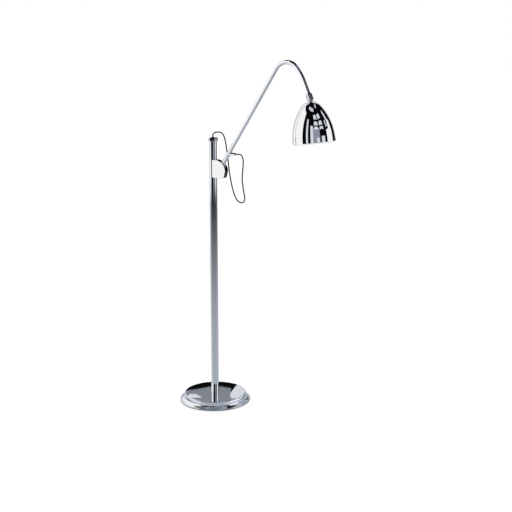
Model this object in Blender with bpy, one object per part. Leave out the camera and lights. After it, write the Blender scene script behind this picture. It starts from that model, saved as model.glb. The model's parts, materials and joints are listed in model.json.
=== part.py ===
"""Pharmacy floor lamp: weighted round base, slim post, sliding hub with a tilting swan-neck arm and a domed shade.

Metres, +Z up. The origin is the centre of the base's underside. The arm reaches towards +X.
"""

import math

import bmesh
import bpy
from mathutils import Matrix, Vector

# Driving dimensions ---------------------------------------------------------------------------
FIT = 0.0003              # gap between two pieces that touch

BASE_RADIUS = 0.140       # 280 mm base
BASE_TOP_RADIUS = 0.123
BASE_HEIGHT = 0.0306
SHELL_WALL = 0.0022
INLET_ANGLE = math.radians(115.0)   # where the mains lead enters, round the back
INLET_HEIGHT = 0.0175

POST_RADIUS = 0.0150      # 30 mm tube
POST_WALL = 0.0015
POST_BOTTOM = 0.0320
POST_TOP = 1.0326
CAP_RADIUS = 0.0190
CAP_TOP = 1.0464
NIPPLE_RADIUS = 0.0050    # hollow threaded rod

CORD_RADIUS = 0.0025      # 5 mm round cord

HUB_HEIGHT = 0.9275       # middle of the hub at rest
HUB_HALF = 0.0170         # half of its thickness
HUB_TOP = 0.0350          # half of its height
HUB_BORE = 0.0160
SLOT_HALF = 0.0084
PIVOT = Vector((0.0285, 0.0, 0.9271))
ARM_ANGLE = math.radians(59.05)     # slope of the straight length at rest
ARM_RAISE = math.radians(18.0)
ARM_LOWER = math.radians(50.0)

ARM_RADIUS = 0.0080       # 16 mm tube
ARM_WALL = 0.0015
ARM_STRAIGHT = 0.4346     # from the pivot to the bend
BEND_RADIUS = 0.0452
BEND_END = math.radians(-51.9)
SWEEP_RADIUS = 0.2184
ARM_END_ANGLE = math.radians(-68.5)
ARM_TAIL = 0.0669         # from the bends to the swivel ball's centre

OUTLET_HEIGHT = 0.9842    # the side outlet on the arm, where the cord goes in
OUTLET_MOUTH = 0.0895
OUTLET_RADIUS = 0.0058

SLEEVE_RADIUS = 0.0122
SLEEVE_BORE = 0.0100
BALL_RADIUS = 0.0096
BALL_TO_SHADE = 0.0078
SHADE_LEAN = math.radians(6.0)
SHADE_LENGTH = 0.1535
SHADE_WALL = 0.0011
SHADE_NECK = 0.0145       # flat top of the shade
BEAD_RADIUS = 0.0030

BULB_RADIUS = 0.0300

# The cord's route, from the post cap's grommet to the arm's outlet.
CORD_ROUTE = (
    (0.0000, 0.0000, 1.0488),
    (0.0000, 0.0002, 1.0570),
    (0.0050, 0.0036, 1.0636),
    (0.0150, 0.0090, 1.0662),
    (0.0260, 0.0150, 1.0652),
    (0.0344, 0.0200, 1.0562),
    (0.0390, 0.0240, 1.0418),
    (0.0418, 0.0270, 1.0255),
    (0.0438, 0.0280, 1.0085),
    (0.0464, 0.0280, 0.9925),
    (0.0495, 0.0280, 0.9720),
    (0.0515, 0.0280, 0.9525),
    (0.0535, 0.0280, 0.9335),
    (0.0560, 0.0280, 0.9140),
    (0.0598, 0.0280, 0.8910),
    (0.0645, 0.0278, 0.8680),
    (0.0705, 0.0270, 0.8450),
    (0.0780, 0.0258, 0.8245),
    (0.0885, 0.0238, 0.8070),
    (0.1020, 0.0205, 0.7985),
    (0.1150, 0.0170, 0.7995),
    (0.1225, 0.0142, 0.8080),
    (0.1232, 0.0120, 0.8215),
    (0.1200, 0.0100, 0.8450),
    (0.1170, 0.0080, 0.8680),
    (0.1160, 0.0060, 0.8910),
    (0.1180, 0.0040, 0.9140),
    (0.1207, 0.0020, 0.9370),
    (0.1220, 0.0008, 0.9580),
    (0.1190, 0.0000, 0.9745),
    (0.1105, 0.0000, 0.9832),
    (0.1000, 0.0000, 0.9842),
    (0.0913, 0.0000, 0.9842),
)
CORD_LOW_POINT = 19       # the route point where the drop hands over to the tail
CORD_STEP = 0.0125


# Helpers --------------------------------------------------------------------------------------
def clear_scene():
    for old in list(bpy.data.objects):
        bpy.data.objects.remove(old, do_unlink=True)


def material(name, color, metallic, roughness):
    """A Principled BSDF material, made once and shared by name."""
    made = bpy.data.materials.get(name)
    if made is None:
        made = bpy.data.materials.new(name)
        made.use_nodes = True
        shader = made.node_tree.nodes["Principled BSDF"]
        shader.inputs["Base Color"].default_value = (*color, 1.0)
        shader.inputs["Metallic"].default_value = metallic
        shader.inputs["Roughness"].default_value = roughness
        made.diffuse_color = (*color, 1.0)
    return made


CHROME = ("chrome", (0.80, 0.82, 0.84), 1.0, 0.06)
STEEL = ("zinc_steel", (0.55, 0.55, 0.53), 1.0, 0.35)
BRASS = ("brass", (0.70, 0.52, 0.24), 1.0, 0.30)
IRON = ("cast_iron", (0.10, 0.10, 0.10), 0.6, 0.70)
NYLON = ("nylon", (0.75, 0.74, 0.70), 0.0, 0.45)
BLACK_RUBBER = ("black_rubber", (0.02, 0.02, 0.02), 0.0, 0.60)
FELT = ("felt", (0.03, 0.03, 0.03), 0.0, 0.95)
CORD_SKIN = ("cord_pvc", (0.035, 0.022, 0.018), 0.0, 0.50)
PHENOLIC = ("black_phenolic", (0.03, 0.028, 0.026), 0.0, 0.40)
BULB_GLASS = ("frosted_glass", (0.92, 0.92, 0.90), 0.0, 0.35)


def frame_at(name, place, turn=0.0, parent=None):
    """An empty on a joint's axis; turn is about +Y."""
    made = bpy.data.objects.new(name, None)
    bpy.context.collection.objects.link(made)
    made.matrix_world = Matrix.Translation(place) @ Matrix.Rotation(turn, 4, "Y")
    if parent is not None:
        made.parent = parent
        made.matrix_parent_inverse = parent.matrix_world.inverted()
    bpy.context.view_layer.update()
    return made


def add_object(name, data, parent, look, place=Matrix()):
    """Links data as an object; place is its matrix in the parent's space."""
    made = bpy.data.objects.new(name, data)
    bpy.context.collection.objects.link(made)
    if parent is not None:
        made.parent = parent
    made.matrix_local = place
    if look is not None:
        data.materials.append(material(*look))
    return made


def mesh_from(bm, name, smooth=True):
    """Ends a bmesh as a mesh with outward faces, smooth except across sharp edges."""
    bmesh.ops.remove_doubles(bm, verts=bm.verts, dist=1e-7)
    bmesh.ops.recalc_face_normals(bm, faces=bm.faces)
    mesh = bpy.data.meshes.new(name)
    bm.to_mesh(mesh)
    bm.free()
    if smooth:
        mesh.shade_smooth()
        mesh.set_sharp_from_angle(angle=math.radians(32.0))
    return mesh


def turned_mesh(name, profile, steps=32, closed=True):
    """Spins a profile of (radius, height) points about Z. An open profile starts and ends on the axis."""
    bm = bmesh.new()
    verts = [bm.verts.new((radius, 0.0, height)) for radius, height in profile]
    edges = [bm.edges.new(pair) for pair in zip(verts, verts[1:])]
    if closed:
        edges.append(bm.edges.new((verts[-1], verts[0])))
    bmesh.ops.spin(bm, geom=verts + edges, cent=(0, 0, 0), axis=(0, 0, 1), angle=2 * math.pi,
                   steps=steps, use_merge=True)
    return mesh_from(bm, name)


def turned(name, profile, parent, look, steps=32, closed=True, place=Matrix()):
    return add_object(name, turned_mesh(name, profile, steps, closed), parent, look, place)


def ring(name, inner, outer, low, high, parent, look, steps=32, place=Matrix()):
    """A plain ring or tube about Z."""
    profile = ((inner, low), (outer, low), (outer, high), (inner, high))
    return turned(name, profile, parent, look, steps, True, place)


def prism_mesh(name, outline, low, high, bevel=0.0):
    """Extrudes an XY outline from low to high along Z, with its long edges bevelled if asked."""
    bm = bmesh.new()
    face = bm.faces.new([bm.verts.new((x, y, low)) for x, y in outline])
    grown = bmesh.ops.extrude_face_region(bm, geom=[face])
    moved = [item for item in grown["geom"] if isinstance(item, bmesh.types.BMVert)]
    bmesh.ops.translate(bm, verts=moved, vec=(0, 0, high - low))
    bmesh.ops.recalc_face_normals(bm, faces=bm.faces)
    if bevel:
        rims = [edge for edge in bm.edges if abs(edge.verts[0].co.z - edge.verts[1].co.z) < 1e-6]
        bmesh.ops.bevel(bm, geom=rims, offset=bevel, segments=2, profile=0.5, affect="EDGES")
    return mesh_from(bm, name)


def rod_mesh(name, radius, low, high, steps=24):
    """A solid round bar about Z."""
    return turned_mesh(name, ((0, low), (radius, low), (radius, high), (0, high)), steps, False)


def cut(target, mesh, place, operation="DIFFERENCE"):
    """A Boolean on target with a hidden tool, placed in the target's parent space."""
    tool = bpy.data.objects.new("tool_" + mesh.name, mesh)
    bpy.context.collection.objects.link(tool)
    tool.parent = target.parent
    tool.matrix_local = place
    tool.hide_render = True
    tool.display_type = "WIRE"
    step = target.modifiers.new(operation.lower(), "BOOLEAN")
    step.operation = operation
    step.solver = "EXACT"
    step.object = tool
    return tool


def arc(centre_x, centre_y, radius, start, stop, count):
    """Points on an arc, angles in degrees."""
    angles = (math.radians(start + (stop - start) * i / count) for i in range(count + 1))
    return [(centre_x + radius * math.cos(a), centre_y + radius * math.sin(a)) for a in angles]


def along_y(x=0.0, y=0.0, z=0.0):
    """Turns a piece made about Z so that its +Z points to +Y."""
    return Matrix.Translation((x, y, z)) @ Matrix.Rotation(math.radians(-90.0), 4, "X")


def along_x(x=0.0, y=0.0, z=0.0):
    """Turns a piece made about Z so that its +Z points to +X."""
    return Matrix.Translation((x, y, z)) @ Matrix.Rotation(math.radians(90.0), 4, "Y")


def hex_nut(name, across_flats, hole, low, high, parent, look):
    corner = across_flats / math.sqrt(3.0)
    outline = arc(0, 0, corner, 0, 300, 5)
    nut = add_object(name, prism_mesh(name, outline, low, high), parent, look)
    cut(nut, rod_mesh(name + "_hole", hole, low - 0.002, high + 0.002), Matrix())
    return nut


def smooth_route(points, spacing):
    """Evenly spaced points on a Catmull-Rom curve through the route's points."""
    knots = [Vector(p) for p in points]
    ends = [2 * knots[0] - knots[1]] + knots + [2 * knots[-1] - knots[-2]]
    fine = []
    for a, b, c, d in zip(ends, ends[1:], ends[2:], ends[3:]):
        for i in range(20):
            t = i / 20.0
            fine.append(0.5 * (2 * b + (c - a) * t + (2 * a - 5 * b + 4 * c - d) * t**2
                               + (3 * b - a - 3 * c + d) * t**3))
    fine.append(knots[-1])
    lengths = [0.0]
    for a, b in zip(fine, fine[1:]):
        lengths.append(lengths[-1] + (b - a).length)
    count = max(2, round(lengths[-1] / spacing))
    even = []
    j = 0
    for i in range(count + 1):
        want = lengths[-1] * i / count
        while j < len(fine) - 2 and lengths[j + 1] < want:
            j += 1
        share = (want - lengths[j]) / max(lengths[j + 1] - lengths[j], 1e-9)
        even.append(fine[j].lerp(fine[j + 1], min(share, 1.0)))
    return even


def lead(name, points, radius, parent, look, sides=2):
    """A round lead along points in world space, as a beveled curve with filled caps."""
    curve = bpy.data.curves.new(name, "CURVE")
    curve.dimensions = "3D"
    curve.bevel_depth = radius
    curve.bevel_resolution = sides
    curve.use_fill_caps = True
    spline = curve.splines.new("POLY")
    spline.points.add(len(points) - 1)
    into = parent.matrix_world.inverted()
    for slot, point in zip(spline.points, points):
        slot.co = (*(into @ Vector(point)), 1.0)
    return add_object(name, curve, parent, look)


# Base, which stands on the floor --------------------------------------------------------------
def build_base():
    lip_top = 0.0072
    cove = 0.0103
    shoulder = 0.0030
    bore = NIPPLE_RADIUS + 0.0015
    wall_foot = lip_top + cove
    outside = [(bore, BASE_HEIGHT)]
    outside += arc(BASE_TOP_RADIUS - shoulder, BASE_HEIGHT - shoulder, shoulder, 90, 0, 3)
    outside += arc(BASE_TOP_RADIUS + cove, wall_foot, cove, 180, 270, 4)
    outside += arc(BASE_RADIUS - 0.0035, lip_top - 0.0035, 0.0035, 90, 0, 3)
    outside += [(BASE_RADIUS - 0.0006, 0.0006), (BASE_RADIUS - 0.0055, 0.0006)]
    inner_wall = BASE_TOP_RADIUS - SHELL_WALL
    under_top = BASE_HEIGHT - SHELL_WALL
    inside = [(BASE_RADIUS - 0.0055, lip_top - SHELL_WALL)]
    inside += [(inner_wall + 0.0104, lip_top - SHELL_WALL)]
    inside += arc(BASE_TOP_RADIUS + cove, wall_foot, cove + SHELL_WALL, 256, 180, 3)
    inside += [(inner_wall, under_top - 0.0023), (inner_wall - 0.0023, under_top), (bore, under_top)]
    shell = turned("base_shell", outside + inside, None, CHROME, 40)
    out_along = Matrix.Rotation(INLET_ANGLE, 4, "Z") @ along_x(0, 0, INLET_HEIGHT)
    cut(shell, rod_mesh("inlet_hole", 0.0041, 0.100, 0.135, 20), out_along)

    rim = BASE_TOP_RADIUS - 0.0050
    recess = 0.0125
    weight_profile = (
        (NIPPLE_RADIUS + 0.0005, 0.0278),
        (rim - 0.0020, 0.0278),
        (rim, 0.0258),
        (rim, 0.0035),
        (0.0140, 0.0035),
        (0.0140, recess),
        (NIPPLE_RADIUS + 0.0005, recess),
    )
    weight = turned("base_weight", weight_profile, None, IRON, 32)
    channel = ((0.0, -0.006), (0.130, -0.006), (0.130, 0.006), (0.0, 0.006))
    cut(weight, prism_mesh("lead_channel", channel, -0.002, 0.0235),
        Matrix.Rotation(INLET_ANGLE, 4, "Z"))

    turned("base_pad", ((0, 0), (0.132, 0), (0.132, 0.003), (0, 0.003)), None, FELT, 48, False)

    grommet_profile = (
        (0.0031, 0.1185),
        (0.0046, 0.1185),
        (0.0046, 0.1203),
        (0.0038, 0.1203),
        (0.0038, 0.1248),
        (0.0052, 0.1248),
        (0.0047, 0.1268),
        (0.0031, 0.1272),
    )
    turned("inlet_grommet", grommet_profile, None, BLACK_RUBBER, 20, True, out_along)

    ring("foot_nipple", 0.0032, NIPPLE_RADIUS, 0.0050, 0.0780, None, STEEL, 20)
    ring("foot_washer", 0.0054, 0.0120, 0.0107, recess - FIT, None, STEEL, 24)
    hex_nut("foot_nut", 0.017, 0.0053, 0.0052, 0.0104, None, STEEL)
    ring("glide_washer", 0.0065, 0.0145, BASE_HEIGHT + FIT, POST_BOTTOM - FIT, None, NYLON, 32)

    bush_profile = (
        (0.0053, POST_BOTTOM),
        (0.0079, POST_BOTTOM),
        (0.0079, 0.0385),
        (0.0102, 0.0385),
        (0.0102, 0.0425),
        (0.0053, 0.0425),
    )
    bush = turned("foot_bush", bush_profile, None, NYLON, 32)
    lug = ((-0.0126, -0.0015), (-0.0090, -0.0015), (-0.0090, 0.0015), (-0.0126, 0.0015))
    cut(bush, prism_mesh("stop_lug", lug, 0.0386, 0.0424), Matrix(), "UNION")
    hex_nut("foot_locknut", 0.015, 0.0053, 0.0428, 0.0478, None, STEEL)


# Post, which turns on the foot bush -----------------------------------------------------------
def build_post():
    axis = frame_at("post_axis", (0, 0, 0))
    inner = POST_RADIUS - POST_WALL
    ring("post_tube", inner, POST_RADIUS, POST_BOTTOM, POST_TOP, axis, CHROME, 32)
    ring("foot_ring", 0.0082, inner - FIT, POST_BOTTOM, 0.0380, axis, STEEL, 32)
    stop = rod_mesh("stop_pin", 0.0010, 0.0383, 0.0450, 12)
    add_object("stop_pin", stop, axis, STEEL, Matrix.Translation((0.0116, 0, 0)))

    under = POST_TOP + FIT
    cap_profile = [(0.0062, under - 0.0150), (inner - FIT, under - 0.0150), (inner - FIT, under)]
    cap_profile += [(CAP_RADIUS - 0.0006, under), (CAP_RADIUS, under + 0.0006)]
    cap_profile += arc(CAP_RADIUS - 0.0030, CAP_TOP - 0.0030, 0.0030, 0, 90, 3)
    cap_profile += [(0.0062, CAP_TOP)]
    turned("post_cap", cap_profile, axis, CHROME, 28)
    grommet_profile = (
        (0.0028, CAP_TOP - 0.0080),
        (0.0059, CAP_TOP - 0.0080),
        (0.0059, CAP_TOP + FIT),
        (0.0076, CAP_TOP + FIT),
        (0.0070, CAP_TOP + 0.0018),
        (0.0028, CAP_TOP + 0.0021),
    )
    turned("cap_grommet", grommet_profile, axis, BLACK_RUBBER, 24)
    lead("post_lead", ((0, 0, 0.080), (0, 0, 1.0485)), CORD_RADIUS, axis, CORD_SKIN)
    return axis


# Hub, which slides on the post and carries the arm's pivot --------------------------------------
def hub_outline():
    """The hub's side, as X and height above its middle: a rounded quadrant with a flat back."""
    crown_x = 0.0115
    crown_z = -0.0085
    crown = HUB_TOP - crown_z
    corner = 0.0085
    corner_x = 0.0425
    points = [(0.0014, HUB_TOP)]
    points += arc(crown_x, crown_z, crown, 90, 0, 14)
    points += arc(corner_x, corner - HUB_TOP, corner, -10, -90, 5)
    points += [(0.0120, -HUB_TOP), (0.0014, 0.0032 - HUB_TOP)]
    return points[::-1]


def slot_outline():
    """The slot that the arm swings in, as X and Z about the pivot."""
    low = ARM_ANGLE - ARM_LOWER - math.radians(2.0)
    high = ARM_ANGLE + ARM_RAISE + math.radians(2.0)
    reach = 0.080
    start = (-SLOT_HALF * math.sin(high), SLOT_HALF * math.cos(high))
    end = (SLOT_HALF * math.sin(low), -SLOT_HALF * math.cos(low))
    middle = (low + high) / 2
    points = [(start[0] + reach * math.cos(high), start[1] + reach * math.sin(high))]
    points += [(1.3 * reach * math.cos(middle), 1.3 * reach * math.sin(middle))]
    points += [(end[0] + reach * math.cos(low), end[1] + reach * math.sin(low))]
    points += arc(0, 0, SLOT_HALF, math.degrees(low) - 90, math.degrees(high) - 270, 10)
    return points[::-1]


def xz_prism(name, outline, half, bevel=0.0):
    """A prism whose outline lies in XZ and which runs from -half to +half along Y."""
    mesh = prism_mesh(name, outline, -half, half, bevel)
    mesh.transform(Matrix.Rotation(math.radians(90.0), 4, "X"))
    return mesh


def strap_outline():
    """A strap seen from above: a flat ear on the hub's back that hooks round the post."""
    flat_in = HUB_HALF + FIT
    flat_out = flat_in + 0.0036
    hook_in = HUB_BORE + 0.0001
    points = [(0.0310, flat_in), (0.0310, flat_out)]
    points += arc(0, 0, flat_out, 90, 148, 8)
    points += arc(0, 0, hook_in, 150, 92, 8)
    points += [(0.0, flat_in)]
    return points[::-1]


def build_hub(post_axis):
    axis = frame_at("hub_slide_axis", (0, 0, HUB_HEIGHT), 0.0, post_axis)
    pivot_x = PIVOT.x
    pivot_z = PIVOT.z - HUB_HEIGHT
    body = add_object("hub_body", xz_prism("hub_body", hub_outline(), HUB_HALF, 0.0009), axis, CHROME)
    cut(body, rod_mesh("post_bore", HUB_BORE, -0.050, 0.050, 48), Matrix())
    cut(body, xz_prism("arm_slot", slot_outline(), SLOT_HALF),
        Matrix.Translation((pivot_x, 0, pivot_z)))
    cut(body, rod_mesh("pivot_hole", 0.0033, -0.0136, 0.0200, 20), along_y(pivot_x, 0, pivot_z))

    liner = (arc(0, 0, 0.01575, -84, 148, 26) + arc(0, 0, 0.01525, 148, -84, 26))
    add_object("slide_liner", prism_mesh("slide_liner", liner, -0.0315, 0.0340), axis, NYLON)

    screw_x = 0.0240
    for side, low, high in (("upper", 0.0105, 0.0245), ("lower", -0.0315, -0.0175)):
        middle = (low + high) / 2
        name = "strap_" + side
        strap = add_object(name, prism_mesh(name, strap_outline(), low, high), axis, CHROME)
        through = along_y(screw_x, 0, middle)
        cut(strap, rod_mesh("strap_hole_" + side, 0.0023, 0.0120, 0.0260, 16), through)
        cut(body, rod_mesh("screw_hole_" + side, 0.0023, 0.0095, 0.0260, 16), through)
        head = HUB_HALF + 0.0042
        screw = (
            (0, 0.0100),
            (0.0020, 0.0100),
            (0.0020, head),
            (0.0036, head),
            (0.0033, head + 0.0016),
            (0.0020, head + 0.0022),
            (0.0013, head + 0.0022),
            (0.0013, head + 0.0008),
            (0, head + 0.0008),
        )
        turned("strap_screw_" + side, screw, axis, STEEL, 20, False, through)

    at_pivot = along_y(pivot_x, 0, pivot_z)
    seat = HUB_HALF + FIT
    ring("wave_washer", 0.0034, 0.0070, seat, seat + 0.0006, axis, STEEL, 24, at_pivot)
    head = seat + 0.0009
    bolt = (
        (0, -0.0132),
        (0.0030, -0.0132),
        (0.0030, head),
        (0.0066, head),
        (0.0066, head + 0.0024),
        (0.0058, head + 0.0032),
        (0.0030, head + 0.0032),
        (0.0030, head + 0.0014),
        (0, head + 0.0014),
    )
    turned("pivot_bolt", bolt, axis, CHROME, 24, False, at_pivot)
    for side, low in (("front", -0.0081), ("rear", 0.0075)):
        ring("friction_disc_" + side, 0.0034, 0.0078, low, low + 0.0006, axis, NYLON, 24, at_pivot)
    return axis


# Arm, which tilts in the hub ------------------------------------------------------------------
def arm_path():
    """Points of the arm's centreline in XZ with their headings, from the pivot to the ball's centre."""
    path = [(PIVOT.x, PIVOT.z, ARM_ANGLE)]

    def run(length, steps):
        x, z, heading = path[-1]
        for i in range(1, steps + 1):
            step = length * i / steps
            path.append((x + step * math.cos(heading), z + step * math.sin(heading), heading))

    def bend(radius, until, steps):
        x, z, heading = path[-1]
        middle_x = x + radius * math.sin(heading)
        middle_z = z - radius * math.cos(heading)
        for i in range(1, steps + 1):
            a = heading + (until - heading) * i / steps
            path.append((middle_x - radius * math.sin(a), middle_z + radius * math.cos(a), a))

    run(ARM_STRAIGHT, 4)
    bend(BEND_RADIUS, BEND_END, 11)
    bend(SWEEP_RADIUS, ARM_END_ANGLE, 3)
    run(ARM_TAIL, 2)
    return path


def swept_tube_mesh(name, path, outer, inner, sides=16):
    """A hollow tube along a path in XZ, open at both ends."""
    bm = bmesh.new()
    rings = []
    for x, z, heading in path:
        across = Vector((-math.sin(heading), 0.0, math.cos(heading)))
        level = Vector((0.0, 1.0, 0.0))
        loops = []
        for radius in (outer, inner):
            loop = []
            for i in range(sides):
                a = 2 * math.pi * i / sides
                place = Vector((x, 0, z)) + radius * (math.cos(a) * across + math.sin(a) * level)
                loop.append(bm.verts.new(place))
            loops.append(loop)
        rings.append(loops)

    def skin(first, second):
        for i in range(sides):
            j = (i + 1) % sides
            bm.faces.new((first[i], first[j], second[j], second[i]))

    for near, far in zip(rings, rings[1:]):
        skin(near[0], far[0])
        skin(near[1], far[1])
    skin(rings[0][0], rings[0][1])
    skin(rings[-1][0], rings[-1][1])
    return mesh_from(bm, name)


def build_arm(hub_axis, path):
    axis = frame_at("arm_tilt_axis", PIVOT, 0.0, hub_axis)
    heading = Vector((math.cos(ARM_ANGLE), 0, math.sin(ARM_ANGLE)))
    tail = Vector((math.cos(ARM_END_ANGLE), 0, math.sin(ARM_END_ANGLE)))
    ball = Vector((path[-1][0], 0, path[-1][1]))

    start = PIVOT + 0.0105 * heading
    end = ball - 0.0160 * tail
    clipped = [(start.x, start.z, ARM_ANGLE)] + path[1:-2] + [(end.x, end.z, ARM_END_ANGLE)]
    tube_mesh = swept_tube_mesh("arm_tube", clipped, ARM_RADIUS, ARM_RADIUS - ARM_WALL)
    tube_mesh.transform(Matrix.Translation(-PIVOT))
    tube = add_object("arm_tube", tube_mesh, axis, CHROME)

    up_arm = Matrix.Rotation(math.pi / 2 - ARM_ANGLE, 4, "Y")
    knuckle_half = 0.0072
    knuckle_mesh = rod_mesh("arm_knuckle", 0.0078, -knuckle_half, knuckle_half, 32)
    knuckle_mesh.transform(Matrix.Rotation(math.radians(-90.0), 4, "X"))
    knuckle = add_object("arm_knuckle", knuckle_mesh, axis, STEEL)
    stem = ARM_RADIUS - ARM_WALL - FIT
    cut(knuckle, rod_mesh("knuckle_stem", stem, 0.0030, 0.0320, 24), up_arm, "UNION")
    cut(knuckle, rod_mesh("knuckle_hole", 0.0033, -0.010, 0.010, 20), along_y())

    rise = OUTLET_HEIGHT - PIVOT.z
    crossing = rise / math.tan(ARM_ANGLE)
    mouth = OUTLET_MOUTH - PIVOT.x
    to_mouth = along_x(0, 0, rise)
    foot = crossing + 0.0040
    outlet_profile = [(0, foot), (0.0070, foot), (0.0070, foot + 0.0065), (0.0063, foot + 0.0080)]
    outlet_profile += [(OUTLET_RADIUS, foot + 0.0100)]
    outlet_profile += [(OUTLET_RADIUS, mouth - 0.0006), (OUTLET_RADIUS - 0.0006, mouth), (0, mouth)]
    outlet = turned("cord_outlet", outlet_profile, axis, CHROME, 20, False, to_mouth)
    cut(outlet, rod_mesh("outlet_saddle", ARM_RADIUS + FIT, -0.02, 0.14, 32), up_arm)
    cut(outlet, rod_mesh("outlet_stem", 0.0042, crossing + 0.0066, mouth - 0.008, 20), to_mouth, "UNION")
    seat = mouth - 0.0045
    clear = mouth + 0.0100
    bore = ((0, 0), (0.0031, 0), (0.0031, seat), (0.0046, seat), (0.0046, clear), (0, clear))
    cut(outlet, turned_mesh("outlet_bore", bore, 20, False), to_mouth)
    cut(tube, rod_mesh("outlet_port", 0.0045, crossing + 0.0005, mouth, 20), to_mouth)
    grommet = (
        (0.0028, mouth - 0.0042),
        (0.0043, mouth - 0.0042),
        (0.0043, mouth + FIT),
        (0.0054, mouth + FIT),
        (0.0050, mouth + 0.0014),
        (0.0028, mouth + 0.0016),
    )
    turned("outlet_grommet", grommet, axis, BLACK_RUBBER, 20, True, to_mouth)
    level = OUTLET_HEIGHT
    lead("outlet_lead", ((PIVOT.x + crossing, 0, level), (OUTLET_MOUTH + 0.0015, 0, level)),
         CORD_RADIUS, axis, CORD_SKIN)

    ferrule_up = Matrix.Translation(ball - PIVOT) @ Matrix.Rotation(-math.pi / 2 - ARM_END_ANGLE, 4, "Y")
    ferrule = (
        (0.0030, 0.0128),
        (0.0092, 0.0128),
        (0.0092, 0.0157),
        (stem, 0.0157),
        (stem, 0.0280),
        (0.0030, 0.0280),
    )
    turned("arm_ferrule", ferrule, axis, BRASS, 24, True, ferrule_up)
    inner_path = [Vector((x, 0, z)) for x, z, _ in path[2:-2]]
    lead("arm_lead", inner_path + [ball - 0.0300 * tail], 0.0021, axis, CORD_SKIN)
    return axis, ball


# Neck sleeve, which swivels on the arm's end ----------------------------------------------------
def build_neck(arm_axis, ball):
    turn = -math.pi / 2 - ARM_END_ANGLE
    axis = frame_at("neck_swivel_axis", ball, turn, arm_axis)
    sleeve_profile = [
        (SLEEVE_BORE, -0.0025),
        (SLEEVE_BORE + 0.0010, -0.0025),
        (SLEEVE_RADIUS, -0.0013),
        (SLEEVE_RADIUS, 0.0195),
        (SLEEVE_RADIUS - 0.0007, 0.0208),
        (ARM_RADIUS + 0.0012, 0.0236),
        (ARM_RADIUS + FIT, 0.0236),
        (ARM_RADIUS + FIT, 0.0162),
        (SLEEVE_BORE, 0.0162),
    ]
    sleeve = turned("neck_sleeve", sleeve_profile, axis, CHROME, 24)
    for side, sign in (("front", -1), ("rear", 1)):
        hole = rod_mesh("pin_hole_" + side, 0.0018, 0.0080, 0.0130, 16)
        outward = Matrix.Rotation(0.0 if sign > 0 else math.pi, 4, "Z") @ along_y()
        cut(sleeve, hole, outward)
        pin = rod_mesh("tilt_pin_" + side, 0.0015, 0.0062, SLEEVE_RADIUS - 0.0002, 16)
        add_object("tilt_pin_" + side, pin, axis, CHROME, outward)
    seat = (
        (0.0045, 0.0091),
        (0.0070, 0.0072),
        (0.0085, 0.0052),
        (0.0097, 0.0036),
        (0.0097, 0.0125),
        (0.0045, 0.0125),
    )
    turned("ball_seat", seat, axis, NYLON, 24)
    return axis


# Shade with its lamp holder, which tilts on the ball --------------------------------------------
def shade_profile():
    """Outside of the shade as (radius, distance below its flat top), down to the bead."""
    points = [(SHADE_NECK, 0.0)]

    def sweep(radius, start, stop, steps):
        r, down = points[-1]
        a0 = math.radians(start)
        for i in range(1, steps + 1):
            a = math.radians(start + (stop - start) * i / steps)
            points.append((r + radius * (math.sin(a) - math.sin(a0)),
                           down + radius * (math.cos(a0) - math.cos(a))))

    sweep(0.0475, 20, 52, 3)
    sweep(0.2040, 52, 89, 7)
    return points


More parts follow.
